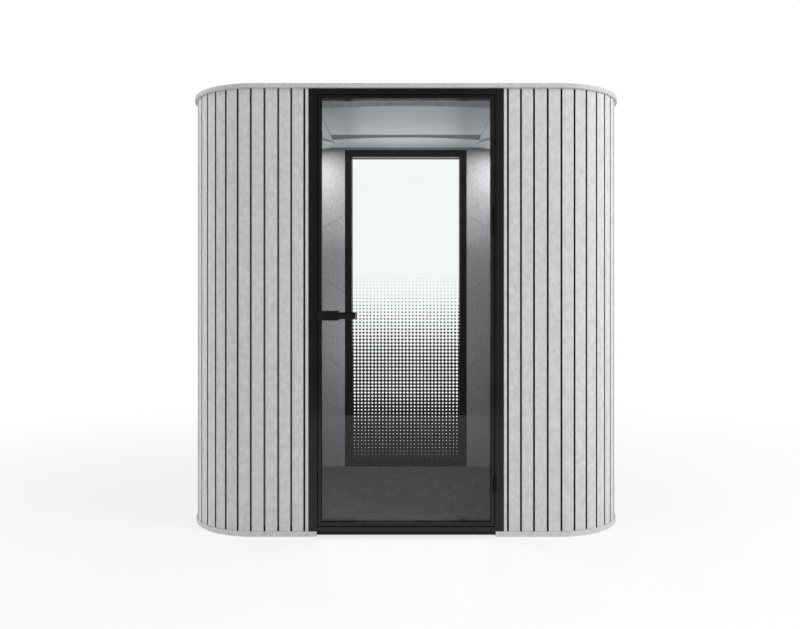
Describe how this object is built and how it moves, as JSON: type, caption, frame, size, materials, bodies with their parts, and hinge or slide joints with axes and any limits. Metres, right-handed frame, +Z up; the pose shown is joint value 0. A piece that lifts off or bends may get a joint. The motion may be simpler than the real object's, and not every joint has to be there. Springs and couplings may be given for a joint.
{
  "type": "acoustic office pod",
  "caption": "Free-standing rounded booth clad in vertical felt slats, with a framed glass door, a rear window with dot-pattern film, carpet, ceiling panels and roof fans.",
  "frame": {"origin": "middle of the footprint, on the floor", "axes": "+Z up, the door faces -Y, +X to the right as seen from the front"},
  "size_m": [2.278, 1.438, 2.25],
  "materials": {
    "pale_felt": "matte",
    "dark_felt": "matte",
    "core_board": "matte",
    "deck_board": "matte",
    "carpet_pile": "matte",
    "black_profile": "satin",
    "black_plastic": "satin",
    "black_rubber": "matte",
    "zinc_steel": "satin",
    "pane_glass": "gloss",
    "printed_film": "satin",
    "satin_panel": "satin",
    "lamp_white": "satin"
  },
  "bodies": {
    "pod": {"base_skirt": "pale_felt", "cladding_front_left": "pale_felt", "cladding_front_right": "pale_felt", "cladding_rear_left": "pale_felt", "cladding_rear_right": "pale_felt", "cladding_left": "pale_felt", "cladding_right": "pale_felt", "roof_panel": "pale_felt", "lining_left": "dark_felt", "lining_right": "dark_felt", "ceiling_board": "dark_felt", "core_front_left": "core_board", "core_front_right": "core_board", "core_rear_left": "core_board", "core_rear_right": "core_board", "core_left": "core_board", "core_right": "core_board", "floor_deck": "deck_board", "carpet": "carpet_pile", "jamb_latch_side": "black_profile", "jamb_hinge_side": "black_profile", "door_header": "black_profile", "door_sill": "black_profile", "hinge_upper_frame_plate": "black_profile", "hinge_lower_frame_plate": "black_profile", "window_stile_left": "black_profile", "window_stile_right": "black_profile", "window_rail_bottom": "black_profile", "window_rail_top": "black_profile", "fan_tray": "black_plastic", "power_inlet": "black_plastic", "door_gasket": "black_rubber", "hinge_upper_pin": "zinc_steel", "hinge_lower_pin": "zinc_steel", "strike_plate": "zinc_steel", "window_glass": "pane_glass", "privacy_film": "printed_film", "ceiling_panel_front": "satin_panel", "ceiling_panel_rear": "satin_panel", "downlight_left": "lamp_white", "downlight_right": "lamp_white"},
    "door": {"leaf_stile_latch": "black_profile", "leaf_stile_hinge": "black_profile", "leaf_rail_bottom": "black_profile", "leaf_rail_top": "black_profile", "door_glass": "pane_glass", "hinge_upper_door_plate": "black_profile", "hinge_lower_door_plate": "black_profile", "lock_case_outer": "black_plastic", "lock_case_inner": "black_plastic"},
    "lever": {"lever_outer": "black_profile", "lever_inner": "black_profile", "lock_spindle": "zinc_steel"},
    "latch": {"latch_bolt": "zinc_steel"},
    "fan_left": {"fan_rotor_left": "black_plastic"},
    "fan_right": {"fan_rotor_right": "black_plastic"},
    "foot_fl": {"foot_front_left": "zinc_steel"},
    "foot_fr": {"foot_front_right": "zinc_steel"},
    "foot_rl": {"foot_rear_left": "zinc_steel"},
    "foot_rr": {"foot_rear_right": "zinc_steel"}
  },
  "joints": [
    {"name": "door_swing", "type": "hinge", "parent": "pod", "child": "door", "pos_m": [0.441, -0.6985, 1.1], "axis": [0, 0, 1], "range_deg": [0, 100]},
    {"name": "lever_turn", "type": "hinge", "parent": "door", "child": "lever", "pos_m": [-0.386, -0.666, 1.097], "axis": [0, 1, 0], "range_deg": [0, 45], "stiffness_Nm_per_rad": 1.5, "springref_deg": -20.05},
    {"name": "latch_slide", "type": "slide", "parent": "door", "child": "latch", "axis": [1, 0, 0], "range_m": [0, 0.01]},
    {"name": "fan_left_spin", "type": "hinge", "parent": "pod", "child": "fan_left", "pos_m": [-0.16, -0.1, 2.21], "axis": [0, 0, 1], "continuous": true},
    {"name": "fan_right_spin", "type": "hinge", "parent": "pod", "child": "fan_right", "pos_m": [0.16, -0.1, 2.21], "axis": [0, 0, 1], "continuous": true},
    {"name": "foot_fl_screw", "type": "slide", "parent": "pod", "child": "foot_fl", "axis": [0, 0, -1], "range_m": [0, 0.012]},
    {"name": "foot_fr_screw", "type": "slide", "parent": "pod", "child": "foot_fr", "axis": [0, 0, -1], "range_m": [0, 0.012]},
    {"name": "foot_rl_screw", "type": "slide", "parent": "pod", "child": "foot_rl", "axis": [0, 0, -1], "range_m": [0, 0.012]},
    {"name": "foot_rr_screw", "type": "slide", "parent": "pod", "child": "foot_rr", "axis": [0, 0, -1], "range_m": [0, 0.012]}
  ],
  "couplings": [
    {"joint": "latch_slide", "follows": "lever_turn", "m_per_rad": 0.0127}
  ]
}
